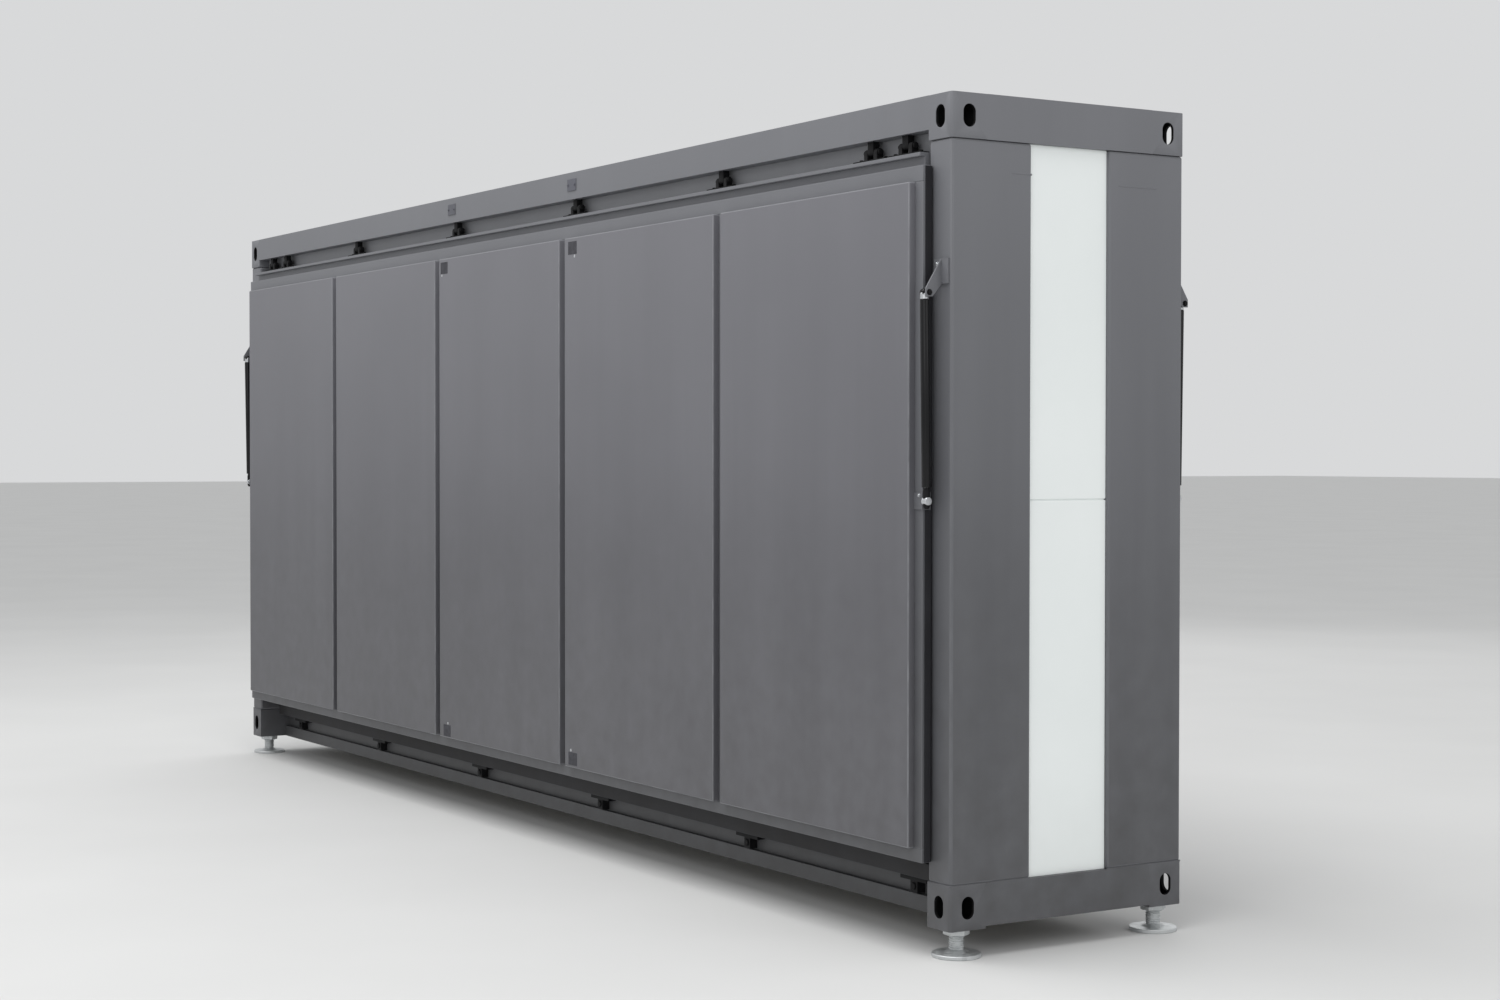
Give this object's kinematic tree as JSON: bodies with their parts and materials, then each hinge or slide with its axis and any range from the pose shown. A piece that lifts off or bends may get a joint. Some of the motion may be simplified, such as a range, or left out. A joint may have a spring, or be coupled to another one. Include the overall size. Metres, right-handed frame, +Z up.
{
  "type": "folded double-wing expandable container house",
  "caption": "Folded expandable container house: a narrow steel core with hinged panelled roof wings on gas struts, upright folded floors, corner castings and levelling feet.",
  "frame": {"origin": "middle of the footprint, on the ground under the levelling feet", "axes": "+Z up, +X along the long side to the right end as seen from the front, +Y from the front long side to the rear one"},
  "size_m": [5.935, 1.0214, 2.565],
  "materials": {
    "frame_paint": "satin mid-grey coat on welded steel sections",
    "panel_paint": "satin mid-grey coat on pressed steel sheet",
    "wall_white": "white coil-coated steel facing on an insulated panel",
    "roof_sheet": "grey coated roofing sheet",
    "lining_white": "white coated ceiling sheet",
    "galvanised_steel": "hot-dip galvanised, dull spangle",
    "floor_board": "raw fibre board",
    "hinge_black": "black coat on forged steel",
    "strut_black": "semi-gloss black cylinder coat",
    "strut_rod": "hard-chromed and ground"
  },
  "bodies": {
    "core": {"top_castings": "frame_paint", "bottom_castings": "frame_paint", "top_rail_front": "frame_paint", "top_rail_rear": "frame_paint", "hinge_band_strips": "frame_paint", "bottom_rail_front": "frame_paint", "bottom_rail_rear": "frame_paint", "top_end_beams": "frame_paint", "bottom_end_beams": "frame_paint", "corner_posts": "frame_paint", "end_wall_left": "wall_white", "end_wall_right": "wall_white", "core_roof": "roof_sheet", "levelling_feet": "galvanised_steel", "core_joists": "galvanised_steel", "floor_wing_edges": "galvanised_steel", "floor_wing_joists": "galvanised_steel", "core_floor": "floor_board", "floor_wing_boards": "floor_board", "floor_hinges": "hinge_black", "roof_hinge_lugs": "hinge_black", "strut_post_brackets": "hinge_black"},
    "front_roof_wing": {"roof_wing_head_front": "frame_paint", "roof_wing_foot_front": "frame_paint", "roof_wing_stiles_front": "frame_paint", "roof_wing_panels_front": "panel_paint", "roof_wing_lining_front": "lining_white", "roof_hinge_leaves_front": "hinge_black", "strut_wing_brackets_front": "hinge_black"},
    "rear_roof_wing": {"roof_wing_head_rear": "frame_paint", "roof_wing_foot_rear": "frame_paint", "roof_wing_stiles_rear": "frame_paint", "roof_wing_panels_rear": "panel_paint", "roof_wing_lining_rear": "lining_white", "roof_hinge_leaves_rear": "hinge_black", "strut_wing_brackets_rear": "hinge_black"},
    "front_left_strut_barrel": {"strut_barrel_front_left": "strut_black"},
    "front_left_strut_rod": {"strut_rod_front_left": "strut_rod"},
    "front_right_strut_barrel": {"strut_barrel_front_right": "strut_black"},
    "front_right_strut_rod": {"strut_rod_front_right": "strut_rod"},
    "rear_left_strut_barrel": {"strut_barrel_rear_left": "strut_black"},
    "rear_left_strut_rod": {"strut_rod_rear_left": "strut_rod"},
    "rear_right_strut_barrel": {"strut_barrel_rear_right": "strut_black"},
    "rear_right_strut_rod": {"strut_rod_rear_right": "strut_rod"}
  },
  "joints": [
    {"name": "front_wing_hinge", "type": "hinge", "parent": "core", "child": "front_roof_wing", "pos_m": [0, -0.425, 2.43], "axis": [-1, 0, 0], "range_deg": [0, 86]},
    {"name": "rear_wing_hinge", "type": "hinge", "parent": "core", "child": "rear_roof_wing", "pos_m": [0, 0.425, 2.43], "axis": [1, 0, 0], "range_deg": [0, 86]},
    {"name": "front_left_strut_pivot", "type": "hinge", "parent": "core", "child": "front_left_strut_barrel", "pos_m": [-2.88, -0.497, 1.975], "axis": [-1, 0, 0], "range_deg": [0, 114.8]},
    {"name": "front_left_strut_slide", "type": "slide", "parent": "front_left_strut_barrel", "child": "front_left_strut_rod", "axis": [0, 0.0146, -0.9999], "range_m": [0, 0.479]},
    {"name": "front_right_strut_pivot", "type": "hinge", "parent": "core", "child": "front_right_strut_barrel", "pos_m": [2.88, -0.497, 1.975], "axis": [-1, 0, 0], "range_deg": [0, 114.8]},
    {"name": "front_right_strut_slide", "type": "slide", "parent": "front_right_strut_barrel", "child": "front_right_strut_rod", "axis": [0, 0.0146, -0.9999], "range_m": [0, 0.479]},
    {"name": "rear_left_strut_pivot", "type": "hinge", "parent": "core", "child": "rear_left_strut_barrel", "pos_m": [-2.88, 0.497, 1.975], "axis": [1, 0, 0], "range_deg": [0, 114.8]},
    {"name": "rear_left_strut_slide", "type": "slide", "parent": "rear_left_strut_barrel", "child": "rear_left_strut_rod", "axis": [0, -0.0146, -0.9999], "range_m": [0, 0.479]},
    {"name": "rear_right_strut_pivot", "type": "hinge", "parent": "core", "child": "rear_right_strut_barrel", "pos_m": [2.88, 0.497, 1.975], "axis": [1, 0, 0], "range_deg": [0, 114.8]},
    {"name": "rear_right_strut_slide", "type": "slide", "parent": "rear_right_strut_barrel", "child": "rear_right_strut_rod", "axis": [0, -0.0146, -0.9999], "range_m": [0, 0.479]}
  ],
  "couplings": [
    {"joint": "front_left_strut_pivot", "follows": "front_wing_hinge", "ratio": 1.334},
    {"joint": "front_left_strut_slide", "follows": "front_wing_hinge", "m_per_rad": 0.31875},
    {"joint": "front_right_strut_pivot", "follows": "front_wing_hinge", "ratio": 1.334},
    {"joint": "front_right_strut_slide", "follows": "front_wing_hinge", "m_per_rad": 0.31875},
    {"joint": "rear_left_strut_pivot", "follows": "rear_wing_hinge", "ratio": 1.334},
    {"joint": "rear_left_strut_slide", "follows": "rear_wing_hinge", "m_per_rad": 0.31875},
    {"joint": "rear_right_strut_pivot", "follows": "rear_wing_hinge", "ratio": 1.334},
    {"joint": "rear_right_strut_slide", "follows": "rear_wing_hinge", "m_per_rad": 0.31875}
  ]
}
